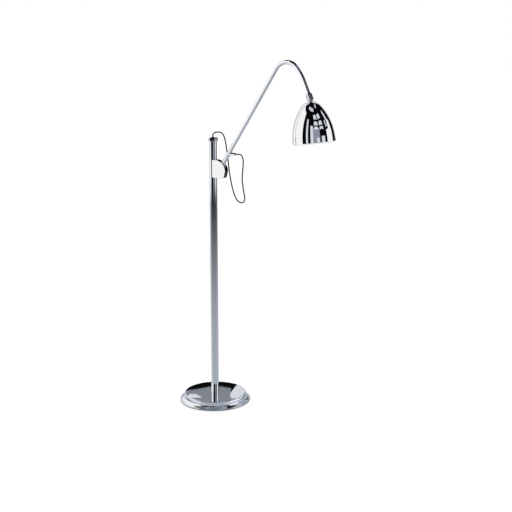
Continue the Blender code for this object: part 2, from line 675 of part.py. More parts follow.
def build_shade(neck_axis, ball):
    axis = frame_at("shade_tilt_axis", ball, -SHADE_LEAN, neck_axis)
    top = -BALL_TO_SHADE

    ball_profile = [(0.0030, math.sqrt(BALL_RADIUS**2 - 0.0030**2))]
    ball_profile += arc(0, 0, BALL_RADIUS, 65, -49, 7)
    ball_profile += [(0.0062, top + FIT), (0.0048, top + FIT)]
    ball_profile += [(0.0048, top - 0.0200), (0.0030, top - 0.0200)]
    swivel = turned("swivel_ball", ball_profile, axis, CHROME, 20)
    for side, sign in (("front", -1), ("rear", 1)):
        hole = rod_mesh("ball_hole_" + side, 0.0019, 0.0055, 0.0120, 16)
        cut(swivel, hole, Matrix.Rotation(0.0 if sign > 0 else math.pi, 4, "Z") @ along_y())

    outside = shade_profile()
    edge_r, edge_down = outside[-1]
    straight = SHADE_LENGTH - 2 * BEAD_RADIUS
    outside = [(0.0052, 0.0)] + outside + [(edge_r, straight)]
    bead = arc(edge_r - BEAD_RADIUS + 0.0016, straight + BEAD_RADIUS, BEAD_RADIUS, -55, 130, 5)
    inside = [(edge_r - SHADE_WALL, straight)]
    for radius, down in reversed(shade_profile()):
        inside.append((max(radius - SHADE_WALL, 0.0052), down + SHADE_WALL * (1 - down / edge_down)))
    profile = outside + bead + inside + [(0.0052, SHADE_WALL)]
    profile = [(radius, top - down) for radius, down in profile]
    turned("shade", profile, axis, CHROME, 36)

    def inside_shade(name, points, look, steps=20, closed=True):
        turned(name, [(radius, top - down) for radius, down in points], axis, look, steps, closed)

    inside_shade("shade_nut", (
        (0.0051, 0.0016), (0.0090, 0.0016), (0.0090, 0.0050), (0.0051, 0.0050)), STEEL)
    inside_shade("holder_cup", (
        (0.0051, 0.0054), (0.0150, 0.0054), (0.0175, 0.0080), (0.0175, 0.0190),
        (0.0163, 0.0190), (0.0163, 0.0088), (0.0145, 0.0068), (0.0051, 0.0068)), BRASS)
    inside_shade("holder_nut", (
        (0.0051, 0.0072), (0.0085, 0.0072), (0.0085, 0.0104), (0.0051, 0.0104)), STEEL)
    inside_shade("holder_core", (
        (0, 0.0207), (0.0158, 0.0207), (0.0158, 0.0284), (0, 0.0284)), PHENOLIC, 20, False)
    inside_shade("holder_shell", (
        (0.0163, 0.0193), (0.0175, 0.0193), (0.0175, 0.0520), (0.0163, 0.0520)), BRASS)
    inside_shade("holder_liner", (
        (0.0148, 0.0287), (0.0158, 0.0287), (0.0158, 0.0510), (0.0148, 0.0510)), PHENOLIC)
    inside_shade("screw_shell", (
        (0.0136, 0.0289), (0.0143, 0.0289), (0.0143, 0.0500), (0.0136, 0.0500)), BRASS)
    inside_shade("centre_contact", (
        (0, 0.0287), (0.0040, 0.0287), (0.0034, 0.0300), (0, 0.0300)), BRASS, 16, False)
    inside_shade("bulb_cap", (
        (0, 0.0304), (0.0045, 0.0304), (0.0075, 0.0325), (0.0131, 0.0345), (0.0131, 0.0548),
        (0, 0.0548)), STEEL, 24, False)

    globe = 0.1085
    neck = [(0.0133, 0.0552), (0.0140, 0.0640), (0.0175, 0.0760), (0.0225, 0.0872)]
    glass = 0.0010
    outer = arc(0, globe, BULB_RADIUS, 90, -30, 7)
    inner = arc(0, globe, BULB_RADIUS - glass, -30, 90, 7)
    wall = outer + neck[::-1] + [(radius - glass, down) for radius, down in neck] + inner
    wall[0] = (0, globe + BULB_RADIUS)
    wall[-1] = (0, globe + BULB_RADIUS - glass)
    inside_shade("bulb_glass", wall, BULB_GLASS, 20, False)


def build_cord(post_axis, arm_axis):
    """The free cord: the drop hangs from the post's cap, and the tail climbs to the arm's outlet."""
    line = smooth_route(CORD_ROUTE, CORD_STEP)
    route = [Vector(point) for point in CORD_ROUTE]
    split = min(range(len(line)), key=lambda i: (line[i] - route[CORD_LOW_POINT]).length)
    square = 0.0030           # a short straight stub squares each end off
    out = square * (route[1] - route[0]).normalized()
    across = (line[split + 1] - line[split - 1]).normalized()
    home = square * (route[-1] - route[-2]).normalized()
    low = line[split]
    drop = [line[0], line[0] + out] + line[1:split] + [low - square * across, low - FIT * across]
    tail = [low, low + square * across] + line[split + 1:-1] + [line[-1] - home, line[-1]]
    lead("cord_drop", drop, CORD_RADIUS, post_axis, CORD_SKIN)
    lead("cord_tail", tail, CORD_RADIUS, arm_axis, CORD_SKIN)


def main():
    clear_scene()
    build_base()
    post_axis = build_post()
    hub_axis = build_hub(post_axis)
    arm_axis, ball = build_arm(hub_axis, arm_path())
    neck_axis = build_neck(arm_axis, ball)
    build_shade(neck_axis, ball)
    build_cord(post_axis, arm_axis)


main()
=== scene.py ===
"""Looks of the pharmacy floor lamp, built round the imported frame: metres, +Z up, the arm reaching towards +X.

The chromed pieces are rebuilt finely at the frame's own sizes, so that they mirror the studio without facets.
White and grey cards stand round the lamp against a dark room. Only mirrors see them, and each group of pieces
mirrors only its own cards.
"""

import json
import math

import bmesh
import bpy
from mathutils import Matrix, Vector


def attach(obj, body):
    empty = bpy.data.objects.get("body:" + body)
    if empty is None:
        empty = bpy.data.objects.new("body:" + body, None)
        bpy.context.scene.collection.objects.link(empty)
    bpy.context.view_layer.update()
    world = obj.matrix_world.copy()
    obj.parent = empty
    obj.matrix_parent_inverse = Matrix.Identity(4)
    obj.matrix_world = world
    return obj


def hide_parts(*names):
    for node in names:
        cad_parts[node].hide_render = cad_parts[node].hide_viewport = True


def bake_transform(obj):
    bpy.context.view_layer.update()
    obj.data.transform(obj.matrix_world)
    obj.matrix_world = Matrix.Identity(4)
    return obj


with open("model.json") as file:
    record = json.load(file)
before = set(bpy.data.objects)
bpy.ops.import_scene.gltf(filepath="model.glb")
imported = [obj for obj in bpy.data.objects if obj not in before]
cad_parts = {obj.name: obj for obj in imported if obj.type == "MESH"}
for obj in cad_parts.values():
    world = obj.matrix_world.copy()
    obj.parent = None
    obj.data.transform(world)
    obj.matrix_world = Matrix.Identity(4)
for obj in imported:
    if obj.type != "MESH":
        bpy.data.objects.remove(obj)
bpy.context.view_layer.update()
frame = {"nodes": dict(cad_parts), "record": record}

# Sizes of the frame's nodes --------------------------------------------------------------------
FIT = 0.0003              # gap between two pieces that touch

BASE_RADIUS = 0.140
BASE_TOP_RADIUS = 0.123
BASE_HEIGHT = 0.0306
SHELL_WALL = 0.0022
LIP_TOP = 0.0072
COVE = 0.0103
SHOULDER = 0.0030
INLET_ANGLE = math.radians(115.0)
INLET_HEIGHT = 0.0175
NIPPLE_BORE = 0.0065
WASHER_RADIUS = 0.0132    # slimmer than the frame's, because the post's tube comes down over it

POST_RADIUS = 0.0150
POST_INNER = 0.0135
POST_BOTTOM = 0.0320
POST_TOP = 1.0326
CAP_RADIUS = 0.0190
CAP_TOP = 1.0464

HUB_HEIGHT = 0.9275
HUB_HALF = 0.0170
HUB_TOP = 0.0350
HUB_BORE = 0.0160
SLOT_HALF = 0.0084
PIVOT = Vector((0.0285, 0.0, 0.9271))
ARM_ANGLE = math.radians(59.05)
ARM_RAISE = math.radians(18.0)
ARM_LOWER = math.radians(50.0)

ARM_RADIUS = 0.0080
ARM_WALL = 0.0015
ARM_STRAIGHT = 0.4346
BEND_RADIUS = 0.0452
BEND_END = math.radians(-51.9)
SWEEP_RADIUS = 0.2184
ARM_END_ANGLE = math.radians(-68.5)
ARM_TAIL = 0.0669

OUTLET_HEIGHT = 0.9842
OUTLET_MOUTH = 0.0895
OUTLET_RADIUS = 0.0058

SLEEVE_RADIUS = 0.0122
SLEEVE_BORE = 0.0100
BALL_RADIUS = 0.0096
BALL_TO_SHADE = 0.0078
SHADE_LEAN = math.radians(6.0)
SHADE_LENGTH = 0.1535
SHADE_WALL = 0.0011
SHADE_NECK = 0.0145
SHADE_ARCS = ((0.0475, 20, 52, 16), (0.2040, 52, 89, 40))    # radius, slopes in degrees and steps of each arc
BEAD_RADIUS = 0.0030
BULB_RADIUS = 0.0300

# The cord: 5 mm, shown from the post's cap to the arm's outlet, so its length is the route's own.
CORD_RADIUS = 0.0025
CORD_ROUTE = (
    (0.0000, 0.0000, 1.0488),
    (0.0000, 0.0002, 1.0570),
    (0.0050, 0.0036, 1.0636),
    (0.0150, 0.0090, 1.0662),
    (0.0260, 0.0150, 1.0652),
    (0.0344, 0.0200, 1.0562),
    (0.0390, 0.0240, 1.0418),
    (0.0418, 0.0270, 1.0255),
    (0.0438, 0.0280, 1.0085),
    (0.0464, 0.0280, 0.9925),
    (0.0495, 0.0280, 0.9720),
    (0.0515, 0.0280, 0.9525),
    (0.0535, 0.0280, 0.9335),
    (0.0560, 0.0280, 0.9140),
    (0.0598, 0.0280, 0.8910),
    (0.0645, 0.0278, 0.8680),
    (0.0705, 0.0270, 0.8450),
    (0.0780, 0.0258, 0.8245),
    (0.0885, 0.0238, 0.8070),
    (0.1020, 0.0205, 0.7985),
    (0.1150, 0.0170, 0.7995),
    (0.1225, 0.0142, 0.8080),
    (0.1232, 0.0120, 0.8215),
    (0.1200, 0.0100, 0.8450),
    (0.1170, 0.0080, 0.8680),
    (0.1160, 0.0060, 0.8910),
    (0.1180, 0.0040, 0.9140),
    (0.1207, 0.0020, 0.9370),
    (0.1220, 0.0008, 0.9580),
    (0.1190, 0.0000, 0.9745),
    (0.1105, 0.0000, 0.9832),
    (0.1000, 0.0000, 0.9842),
    (0.0913, 0.0000, 0.9842),
)
CORD_LOW_POINT = 19       # the route point where the drop hands over to the tail
CORD_STEP = 0.0030

# Camera ----------------------------------------------------------------------------------------
CAMERA_PLACE = Vector((1.1707, -2.9720, 1.1765))
CAMERA_PITCH = math.radians(-10.48)
CAMERA_HEADING = math.radians(18.55)    # from +Y towards -X
CAMERA_LENS = 58.28
VIEW_AZIMUTH = math.radians(21.5)       # where the camera stands round the post, from -Y towards +X


# Groups of pieces that share one set of cards --------------------------------------------------
# Each group's cards stand on a sphere, given here as its middle and its radius.
GROUP_SPHERES = {
    "shade": ((0.393, 0.0, 1.10), 6.5),
    "post": ((0.0, 0.0, 0.95), 6.3),
    "hub": ((0.02, 0.0, 0.93), 6.2),
    "arm": ((0.16, 0.0, 1.12), 6.4),
    "base": ((0.0, 0.0, 0.03), 6.6),
    "cap": ((0.0, 0.0, 1.04), 6.45),
    "spigot": ((0.08, 0.0, 0.98), 6.7),
    "bead": ((0.393, 0.0, 1.03), 6.55),
}
GROUP_OF_BODY = {"base": "base", "post": "post", "hub": "hub", "arm": "arm", "neck": "hub", "shade": "shade"}
OFF_THE_FLOOR = ("hub", "bead", "base", "spigot")    # groups that don't mirror the shared floor
receivers = {group: bpy.data.collections.new("lit_" + group) for group in (*GROUP_SPHERES, "floor")}


# Mesh helpers ----------------------------------------------------------------------------------
SHARP_ANGLE = 28.0        # degrees; edges that turn more than this stay sharp


def arc(centre_x, centre_y, radius, start, stop, count):
    """Points on an arc, angles in degrees."""
    angles = (math.radians(start + (stop - start) * i / count) for i in range(count + 1))
    return [(centre_x + radius * math.cos(a), centre_y + radius * math.sin(a)) for a in angles]


def rounded(corners, closed=True, steps=5):
    """A polyline of (x, y) or (x, y, fillet radius) with its corners rounded.

    A point beside each fillet holds the flats flat."""
    made = []
    count = len(corners)
    for i, corner in enumerate(corners):
        here = Vector(corner[:2])
        radius = corner[2] if len(corner) > 2 else 0.0
        if radius <= 0.0 or (not closed and i in (0, count - 1)):
            made.append(tuple(here))
            continue
        back = Vector(corners[i - 1][:2]) - here
        on = Vector(corners[(i + 1) % count][:2]) - here
        half = back.angle(on) / 2
        reach = min(radius / math.tan(half), 0.45 * back.length, 0.45 * on.length)
        radius = reach * math.tan(half)
        back.normalize()
        on.normalize()
        hold = 0.35 * reach
        middle = here + (back + on).normalized() * radius / math.sin(half)
        start = here + reach * back
        stop = here + reach * on
        made.append(tuple(here + (reach + hold) * back))
        first = start - middle
        turn = first.angle_signed(stop - middle)
        for k in range(steps + 1):
            a = -turn * k / steps
            made.append((middle.x + first.x * math.cos(a) - first.y * math.sin(a),
                         middle.y + first.x * math.sin(a) + first.y * math.cos(a)))
        made.append(tuple(here + (reach + hold) * on))
    return made


def mesh_from(bm, name, sharp=SHARP_ANGLE):
    """Ends a bmesh as a mesh with outward faces, smooth except across edges sharper than this."""
    bmesh.ops.remove_doubles(bm, verts=bm.verts, dist=1e-7)
    bmesh.ops.recalc_face_normals(bm, faces=bm.faces)
    mesh = bpy.data.meshes.new(name)
    bm.to_mesh(mesh)
    bm.free()
    mesh.shade_smooth()
    mesh.set_sharp_from_angle(angle=math.radians(sharp))
    return mesh


def lathe_mesh(name, profile, steps=96, closed=True):
    """Spins a profile of (radius, height) about Z. An open profile starts and ends on the axis."""
    bm = bmesh.new()
    verts = [bm.verts.new((radius, 0.0, height)) for radius, height in profile]
    edges = [bm.edges.new(pair) for pair in zip(verts, verts[1:])]
    if closed:
        edges.append(bm.edges.new((verts[-1], verts[0])))
    bmesh.ops.spin(bm, geom=verts + edges, cent=(0, 0, 0), axis=(0, 0, 1), angle=2 * math.pi,
                   steps=steps, use_merge=True)
    return mesh_from(bm, name)


def prism_mesh(name, outline, low, high, bevel=0.0):
    """Extrudes an XY outline along Z, with its rims rounded if asked."""
    bm = bmesh.new()
    face = bm.faces.new([bm.verts.new((x, y, low)) for x, y in outline])
    grown = bmesh.ops.extrude_face_region(bm, geom=[face])
    moved = [item for item in grown["geom"] if isinstance(item, bmesh.types.BMVert)]
    bmesh.ops.translate(bm, verts=moved, vec=(0, 0, high - low))
    bmesh.ops.recalc_face_normals(bm, faces=bm.faces)
    if bevel:
        rims = [edge for edge in bm.edges if abs(edge.verts[0].co.z - edge.verts[1].co.z) < 1e-6]
        bmesh.ops.bevel(bm, geom=rims, offset=bevel, segments=3, profile=0.5, affect="EDGES")
    return mesh_from(bm, name)


def rod_mesh(name, radius, low, high, steps=48):
    return lathe_mesh(name, ((0, low), (radius, low), (radius, high), (0, high)), steps, False)


def carve(mesh, tool, operation="DIFFERENCE"):
    """A mesh after an exact Boolean with a tool mesh, both in the same space; the tool is used up."""
    body = bpy.data.objects.new("carved", mesh)
    other = bpy.data.objects.new("tool", tool)
    for item in (body, other):
        bpy.context.collection.objects.link(item)
    step = body.modifiers.new("cut", "BOOLEAN")
    step.operation = operation
    step.solver = "EXACT"
    step.object = other
    graph = bpy.context.evaluated_depsgraph_get()
    made = bpy.data.meshes.new_from_object(body.evaluated_get(graph))
    made.name = mesh.name
    for item in (body, other):
        bpy.data.objects.remove(item, do_unlink=True)
    made.shade_smooth()
    made.set_sharp_from_angle(angle=math.radians(SHARP_ANGLE))
    return made


def moved(mesh, place):
    mesh.transform(place)
    return mesh


def swept_mesh(name, points, radius, sides=24, inner=0.0, level=None):
    """A round tube along points. level is a direction kept across the tube, for a path in one plane."""
    bm = bmesh.new()
    headings = [(b - a).normalized() for a, b in zip(points, points[1:])]
    headings = [headings[0]] + [(a + b).normalized() for a, b in zip(headings, headings[1:])] + [headings[-1]]
    across = level or headings[0].orthogonal().normalized()
    shells = (radius, inner) if inner else (radius,)
    rings = []
    for point, heading in zip(points, headings):
        across = (across - heading * across.dot(heading)).normalized()
        other = heading.cross(across)
        loops = []
        for reach in shells:
            turns = (2 * math.pi * i / sides for i in range(sides))
            loops.append([bm.verts.new(point + reach * (math.cos(a) * across + math.sin(a) * other))
                          for a in turns])
        rings.append(loops)
    for near, far in zip(rings, rings[1:]):
        for first, second in zip(near, far):
            for i in range(sides):
                j = (i + 1) % sides
                bm.faces.new((first[i], first[j], second[j], second[i]))
    for loops in (rings[0], rings[-1]):
        if inner:
            for i in range(sides):
                j = (i + 1) % sides
                bm.faces.new((loops[0][i], loops[0][j], loops[1][j], loops[1][i]))
        else:
            bm.faces.new(loops[0])
    return mesh_from(bm, name, 50.0)


def along_y(x=0.0, y=0.0, z=0.0):
    """Turns a piece made about Z so that its +Z points to +Y."""
    return Matrix.Translation((x, y, z)) @ Matrix.Rotation(math.radians(-90.0), 4, "X")


def along_x(x=0.0, y=0.0, z=0.0):
    """Turns a piece made about Z so that its +Z points to +X."""
    return Matrix.Translation((x, y, z)) @ Matrix.Rotation(math.radians(90.0), 4, "Y")


def xz_prism(name, outline, half, bevel=0.0):
    """A prism whose outline lies in XZ and which runs from -half to +half along Y."""
    return moved(prism_mesh(name, outline, -half, half, bevel), Matrix.Rotation(math.radians(90.0), 4, "X"))


def piece(node, mesh, body, slot, place=Matrix(), flats=False, group=None, replaces=True):
    """Links a mesh as the piece that shows a CAD node, with its slot's look unless it has its own.

    It rides on a body, if one is given. flats keeps its large flat faces shaded flat."""
    made = bpy.data.objects.new("look_" + node, mesh)
    bpy.context.collection.objects.link(made)
    made.data.transform(place)
    if not made.data.materials:
        made.data.materials.append(LOOKS[slot])
    if flats:
        weighted = made.modifiers.new("flats", "WEIGHTED_NORMAL")
        weighted.keep_sharp = True
        weighted.weight = 100
    if body is not None:
        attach(made, body)
    group = group or GROUP_OF_BODY.get(body, "post")
    receivers[group].objects.link(made)
    if group not in OFF_THE_FLOOR:
        receivers["floor"].objects.link(made)
    if replaces:
        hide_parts(node)
    return made


# Materials -------------------------------------------------------------------------------------
def map_range(nodes, low, high, to_low=0.0, to_high=1.0, smooth=False):
    made = nodes.new("ShaderNodeMapRange")
    if smooth:
        made.interpolation_type = "SMOOTHSTEP"
    made.inputs["From Min"].default_value = low
    made.inputs["From Max"].default_value = high
    made.inputs["To Min"].default_value = to_low
    made.inputs["To Max"].default_value = to_high
    return made


def finish_of(name, colour, metallic, roughness, grain, bump, depth, tint, fine):
    """A Principled BSDF whose roughness, relief and, with tint, colour vary over the surface."""
    made = bpy.data.materials.new(name)
    made.use_nodes = True
    nodes = made.node_tree.nodes
    link = made.node_tree.links.new
    shader = nodes["Principled BSDF"]
    shader.inputs["Metallic"].default_value = metallic
    shader.inputs["Base Color"].default_value = (*colour, 1.0)

    where = nodes.new("ShaderNodeTexCoord")
    clouds = nodes.new("ShaderNodeTexNoise")
    clouds.inputs["Scale"].default_value = grain
    clouds.inputs["Detail"].default_value = 4.0
    link(where.outputs["Object"], clouds.inputs["Vector"])
    spread = map_range(nodes, 0.3, 0.7, *roughness)
    link(clouds.outputs["Fac"], spread.inputs["Value"])
    link(spread.outputs["Result"], shader.inputs["Roughness"])

    relief = nodes.new("ShaderNodeTexNoise")
    relief.inputs["Scale"].default_value = fine
    relief.inputs["Detail"].default_value = 6.0
    link(where.outputs["Object"], relief.inputs["Vector"])
    raised = nodes.new("ShaderNodeBump")
    raised.inputs["Strength"].default_value = bump
    raised.inputs["Distance"].default_value = depth
    link(relief.outputs["Fac"], raised.inputs["Height"])
    link(raised.outputs["Normal"], shader.inputs["Normal"])

    if tint:
        ramp = nodes.new("ShaderNodeValToRGB")
        for element, place, gain in zip(ramp.color_ramp.elements, (0.32, 0.68), (1 - tint, 1 + tint)):
            element.position = place
            element.color = (*(min(1.0, channel * gain) for channel in colour), 1.0)
        link(clouds.outputs["Fac"], ramp.inputs["Fac"])
        link(ramp.outputs["Color"], shader.inputs["Base Color"])
    return made


# Slot, colour, metallic, roughness from and to, scale of its clouds, strength and depth of its relief, tint,
# and scale of its relief. Only white_enamel, inside the shade, isn't a slot of the record.
FINISHES = (
    ("chrome", (0.875, 0.885, 0.900), 1.0, (0.008, 0.028), 22.0, 0.008, 0.0002, 0.0, 60.0),
    ("zinc_steel", (0.55, 0.55, 0.53), 1.0, (0.28, 0.42), 160.0, 0.10, 0.0002, 0.06, 640.0),
    ("brass", (0.70, 0.52, 0.24), 1.0, (0.22, 0.36), 120.0, 0.06, 0.0002, 0.10, 480.0),
    ("cast_iron", (0.10, 0.10, 0.10), 0.6, (0.60, 0.80), 140.0, 0.60, 0.0006, 0.25, 900.0),
    ("nylon", (0.75, 0.74, 0.70), 0.0, (0.38, 0.50), 180.0, 0.08, 0.0002, 0.03, 720.0),
    ("black_rubber", (0.022, 0.021, 0.020), 0.0, (0.48, 0.66), 260.0, 0.20, 0.0002, 0.15, 1040.0),
    ("felt", (0.030, 0.030, 0.031), 0.0, (0.90, 1.00), 420.0, 0.80, 0.0006, 0.30, 1800.0),
    ("cord_pvc", (0.012, 0.009, 0.008), 0.0, (0.36, 0.50), 220.0, 0.12, 0.0002, 0.12, 880.0),
    ("black_phenolic", (0.030, 0.028, 0.026), 0.0, (0.28, 0.42), 120.0, 0.06, 0.0002, 0.12, 480.0),
    ("white_enamel", (0.86, 0.85, 0.82), 0.0, (0.26, 0.36), 90.0, 0.10, 0.0002, 0.02, 360.0),
    ("frosted_glass", (0.93, 0.93, 0.91), 0.0, (0.22, 0.34), 90.0, 0.05, 0.0002, 0.015, 360.0),
)
LOOKS = {finish[0]: finish_of(*finish) for finish in FINISHES}


def dress_cad_nodes():
    """Gives every carried-over CAD node the finish that its record names."""
    for part in frame["record"]["subparts"]:
        node = frame["nodes"][part["node"]]
        node.data.materials.clear()
        node.data.materials.append(LOOKS[part["material_slot"]])
        node.data.shade_smooth()
        node.data.set_sharp_from_angle(angle=math.radians(SHARP_ANGLE))
        receivers["post"].objects.link(node)
        receivers["floor"].objects.link(node)


# Base ------------------------------------------------------------------------------------------
def build_base():
    wall_foot = LIP_TOP + COVE
    top = [(NIPPLE_BORE, BASE_HEIGHT), (0.0600, BASE_HEIGHT), (0.1120, BASE_HEIGHT), (0.1190, BASE_HEIGHT)]
    outside = top + arc(BASE_TOP_RADIUS - SHOULDER, BASE_HEIGHT - SHOULDER, SHOULDER, 90, 0, 12)
    outside += [(BASE_TOP_RADIUS, BASE_HEIGHT - SHOULDER - 0.0006), (BASE_TOP_RADIUS, wall_foot + 0.0008)]
    outside += arc(BASE_TOP_RADIUS + COVE, wall_foot, COVE, 180, 270, 16)
    outside += [(BASE_RADIUS - 0.0050, LIP_TOP), (BASE_RADIUS - 0.0040, LIP_TOP)]
    outside += arc(BASE_RADIUS - 0.0035, LIP_TOP - 0.0035, 0.0035, 90, 0, 12)
    outside += [(BASE_RADIUS, 0.0030), (BASE_RADIUS, 0.0014), (BASE_RADIUS - 0.0006, 0.0006)]
    outside += [(BASE_RADIUS - 0.0055, 0.0006)]
    inner_wall = BASE_TOP_RADIUS - SHELL_WALL
    under_top = BASE_HEIGHT - SHELL_WALL
    inside = [(BASE_RADIUS - 0.0055, LIP_TOP - SHELL_WALL), (inner_wall + 0.0104, LIP_TOP - SHELL_WALL)]
    inside += arc(BASE_TOP_RADIUS + COVE, wall_foot, COVE + SHELL_WALL, 256, 180, 8)
    inside += [(inner_wall, under_top - 0.0023), (inner_wall - 0.0023, under_top), (NIPPLE_BORE, under_top)]
    shell = lathe_mesh("base_shell", outside + inside, 192)
    out_along = Matrix.Rotation(INLET_ANGLE, 4, "Z") @ along_x(0, 0, INLET_HEIGHT)
    shell = carve(shell, moved(rod_mesh("inlet_hole", 0.0041, 0.100, 0.135), out_along))
    piece("base_shell", shell, "base", "chrome")

    grommet = rounded((
        (0.0031, 0.1185, 0.0003), (0.0046, 0.1185, 0.0003), (0.0046, 0.1203), (0.0038, 0.1203),
        (0.0038, 0.1248), (0.0052, 0.1248, 0.0002), (0.0047, 0.1268, 0.0005), (0.0031, 0.1272, 0.0004)))
    piece("inlet_grommet", lathe_mesh("inlet_grommet", grommet, 48), "base", "black_rubber", out_along)

    pad = rounded(((0, 0), (0.132, 0, 0.0009), (0.132, 0.003, 0.0006), (0, 0.003)), False)
    piece("base_pad", lathe_mesh("base_pad", pad, 160, False), "base", "felt")

    low = BASE_HEIGHT + FIT
    high = POST_BOTTOM - FIT
    washer = rounded(((NIPPLE_BORE, low, 0.0002), (WASHER_RADIUS, low, 0.0003),
                      (WASHER_RADIUS, high, 0.0002), (NIPPLE_BORE, high, 0.0002)))
    piece("glide_washer", lathe_mesh("glide_washer", washer, 96), "base", "nylon")


# Post ------------------------------------------------------------------------------------------
def build_post():
    foot = BASE_HEIGHT + FIT    # lower than the frame's tube, which stands on the glide washer
    tube = rounded(((POST_INNER, foot, 0.0002), (POST_RADIUS, foot, 0.0002),
                    (POST_RADIUS, POST_TOP, 0.0003), (POST_INNER, POST_TOP, 0.0002)))
    piece("post_tube", lathe_mesh("post_tube", tube, 128), "post", "chrome")

    under = POST_TOP + FIT
    cap = rounded((
        (0.0062, under - 0.0150, 0.0004), (POST_INNER - FIT, under - 0.0150, 0.0006),
        (POST_INNER - FIT, under), (CAP_RADIUS, under, 0.0007), (CAP_RADIUS, CAP_TOP, 0.0030),
        (0.0062, CAP_TOP, 0.0004)), True, 9)
    piece("post_cap", lathe_mesh("post_cap", cap, 96), "post", "chrome", group="cap")

    grommet = rounded((
        (0.0028, CAP_TOP - 0.0080), (0.0059, CAP_TOP - 0.0080), (0.0059, CAP_TOP + FIT),
        (0.0076, CAP_TOP + FIT, 0.0002), (0.0070, CAP_TOP + 0.0018, 0.0007),
        (0.0028, CAP_TOP + 0.0021, 0.0005)))
    piece("cap_grommet", lathe_mesh("cap_grommet", grommet, 64), "post", "black_rubber")


# Hub -------------------------------------------------------------------------------------------
def hub_outline():
    """The hub's side, as X and height above its middle: a rounded quadrant with a flat back."""
    crown_x = 0.0115
    crown_z = -0.0085
    corner = 0.0085
    points = [(0.0014, HUB_TOP)]
    points += arc(crown_x, crown_z, HUB_TOP - crown_z, 90, 0, 56)
    points += arc(0.0425, corner - HUB_TOP, corner, -10, -90, 20)
    points += [(0.0120, -HUB_TOP), (0.0014, 0.0032 - HUB_TOP)]
    return points[::-1]


def slot_outline():
    """The slot that the arm swings in, as X and Z about the pivot."""
    low = ARM_ANGLE - ARM_LOWER - math.radians(2.0)
    high = ARM_ANGLE + ARM_RAISE + math.radians(2.0)
    reach = 0.080
    start = (-SLOT_HALF * math.sin(high), SLOT_HALF * math.cos(high))
    end = (SLOT_HALF * math.sin(low), -SLOT_HALF * math.cos(low))
    middle = (low + high) / 2
    points = [(start[0] + reach * math.cos(high), start[1] + reach * math.sin(high))]
    points += [(1.3 * reach * math.cos(middle), 1.3 * reach * math.sin(middle))]
    points += [(end[0] + reach * math.cos(low), end[1] + reach * math.sin(low))]
    points += arc(0, 0, SLOT_HALF, math.degrees(low) - 90, math.degrees(high) - 270, 32)
    return points[::-1]


def strap_outline():
    """A strap seen from above: a flat ear on the hub's back that hooks round the post."""
    flat_in = HUB_HALF + FIT
    flat_out = flat_in + 0.0036
    points = [(0.0310, flat_in), (0.0310, flat_out)]
    points += arc(0, 0, flat_out, 90, 148, 24)
    points += arc(0, 0, HUB_BORE + 0.0001, 150, 92, 24)
    points += [(0.0, flat_in)]
    return points[::-1]


def hex_socket(across, low, high):
    return prism_mesh("socket", arc(0, 0, across / math.sqrt(3.0), 0, 300, 5), low, high)


def build_hub():
    middle = Matrix.Translation((0, 0, HUB_HEIGHT))
    pivot_z = PIVOT.z - HUB_HEIGHT
    at_pivot = along_y(PIVOT.x, 0, pivot_z)
    body = xz_prism("hub_body", hub_outline(), HUB_HALF, 0.0011)
    body = carve(body, rod_mesh("post_bore", HUB_BORE, -0.050, 0.050, 128))
    body = carve(body, moved(xz_prism("arm_slot", slot_outline(), SLOT_HALF),
                             Matrix.Translation((PIVOT.x, 0, pivot_z))))
    body = carve(body, moved(rod_mesh("pivot_hole", 0.0033, -0.0136, 0.0200), at_pivot))
    screw_x = 0.0240
    for side, low, high in (("upper", 0.0105, 0.0245), ("lower", -0.0315, -0.0175)):
        through = along_y(screw_x, 0, (low + high) / 2)
        body = carve(body, moved(rod_mesh("screw_hole", 0.0023, 0.0095, 0.0260, 32), through))
        strap = prism_mesh("strap_" + side, strap_outline(), low, high, 0.0004)
        strap = carve(strap, moved(rod_mesh("strap_hole", 0.0023, 0.0120, 0.0260, 32), through))
        piece("strap_" + side, strap, "hub", "chrome", middle, True)

        head = HUB_HALF + 0.0042
        screw = rounded((
            (0, 0.0100), (0.0020, 0.0100, 0.0004), (0.0020, head), (0.0036, head, 0.0002),
            (0.0034, head + 0.0015, 0.0005), (0.0020, head + 0.0022, 0.0006), (0, head + 0.0022)), False)
        screw = lathe_mesh("strap_screw_" + side, screw, 48, False)
        screw = carve(screw, hex_socket(0.0024, head + 0.0008, head + 0.0040))
        piece("strap_screw_" + side, screw, "hub", "zinc_steel", middle @ through, True)
    piece("hub_body", body, "hub", "chrome", middle, True)

    liner = arc(0, 0, 0.01575, -84, 148, 96) + arc(0, 0, 0.01525, 148, -84, 96)
    piece("slide_liner", prism_mesh("slide_liner", liner, -0.0315, 0.0340), "hub", "nylon", middle)

    seat = HUB_HALF + FIT
    washer = rounded(((0.0034, seat, 0.0001), (0.0070, seat, 0.0002), (0.0070, seat + 0.0006, 0.0002),
                      (0.0034, seat + 0.0006, 0.0001)))
    piece("wave_washer", lathe_mesh("wave_washer", washer, 64), "hub", "zinc_steel", middle @ at_pivot)
    head = seat + 0.0009
    bolt = rounded((
        (0, -0.0132), (0.0030, -0.0132, 0.0005), (0.0030, head), (0.0066, head, 0.0003),
        (0.0066, head + 0.0032, 0.0008), (0, head + 0.0032)), False)
    bolt = lathe_mesh("pivot_bolt", bolt, 64, False)
    bolt = carve(bolt, hex_socket(0.0050, head + 0.0014, head + 0.0060))
    piece("pivot_bolt", bolt, "hub", "chrome", middle @ at_pivot, True)


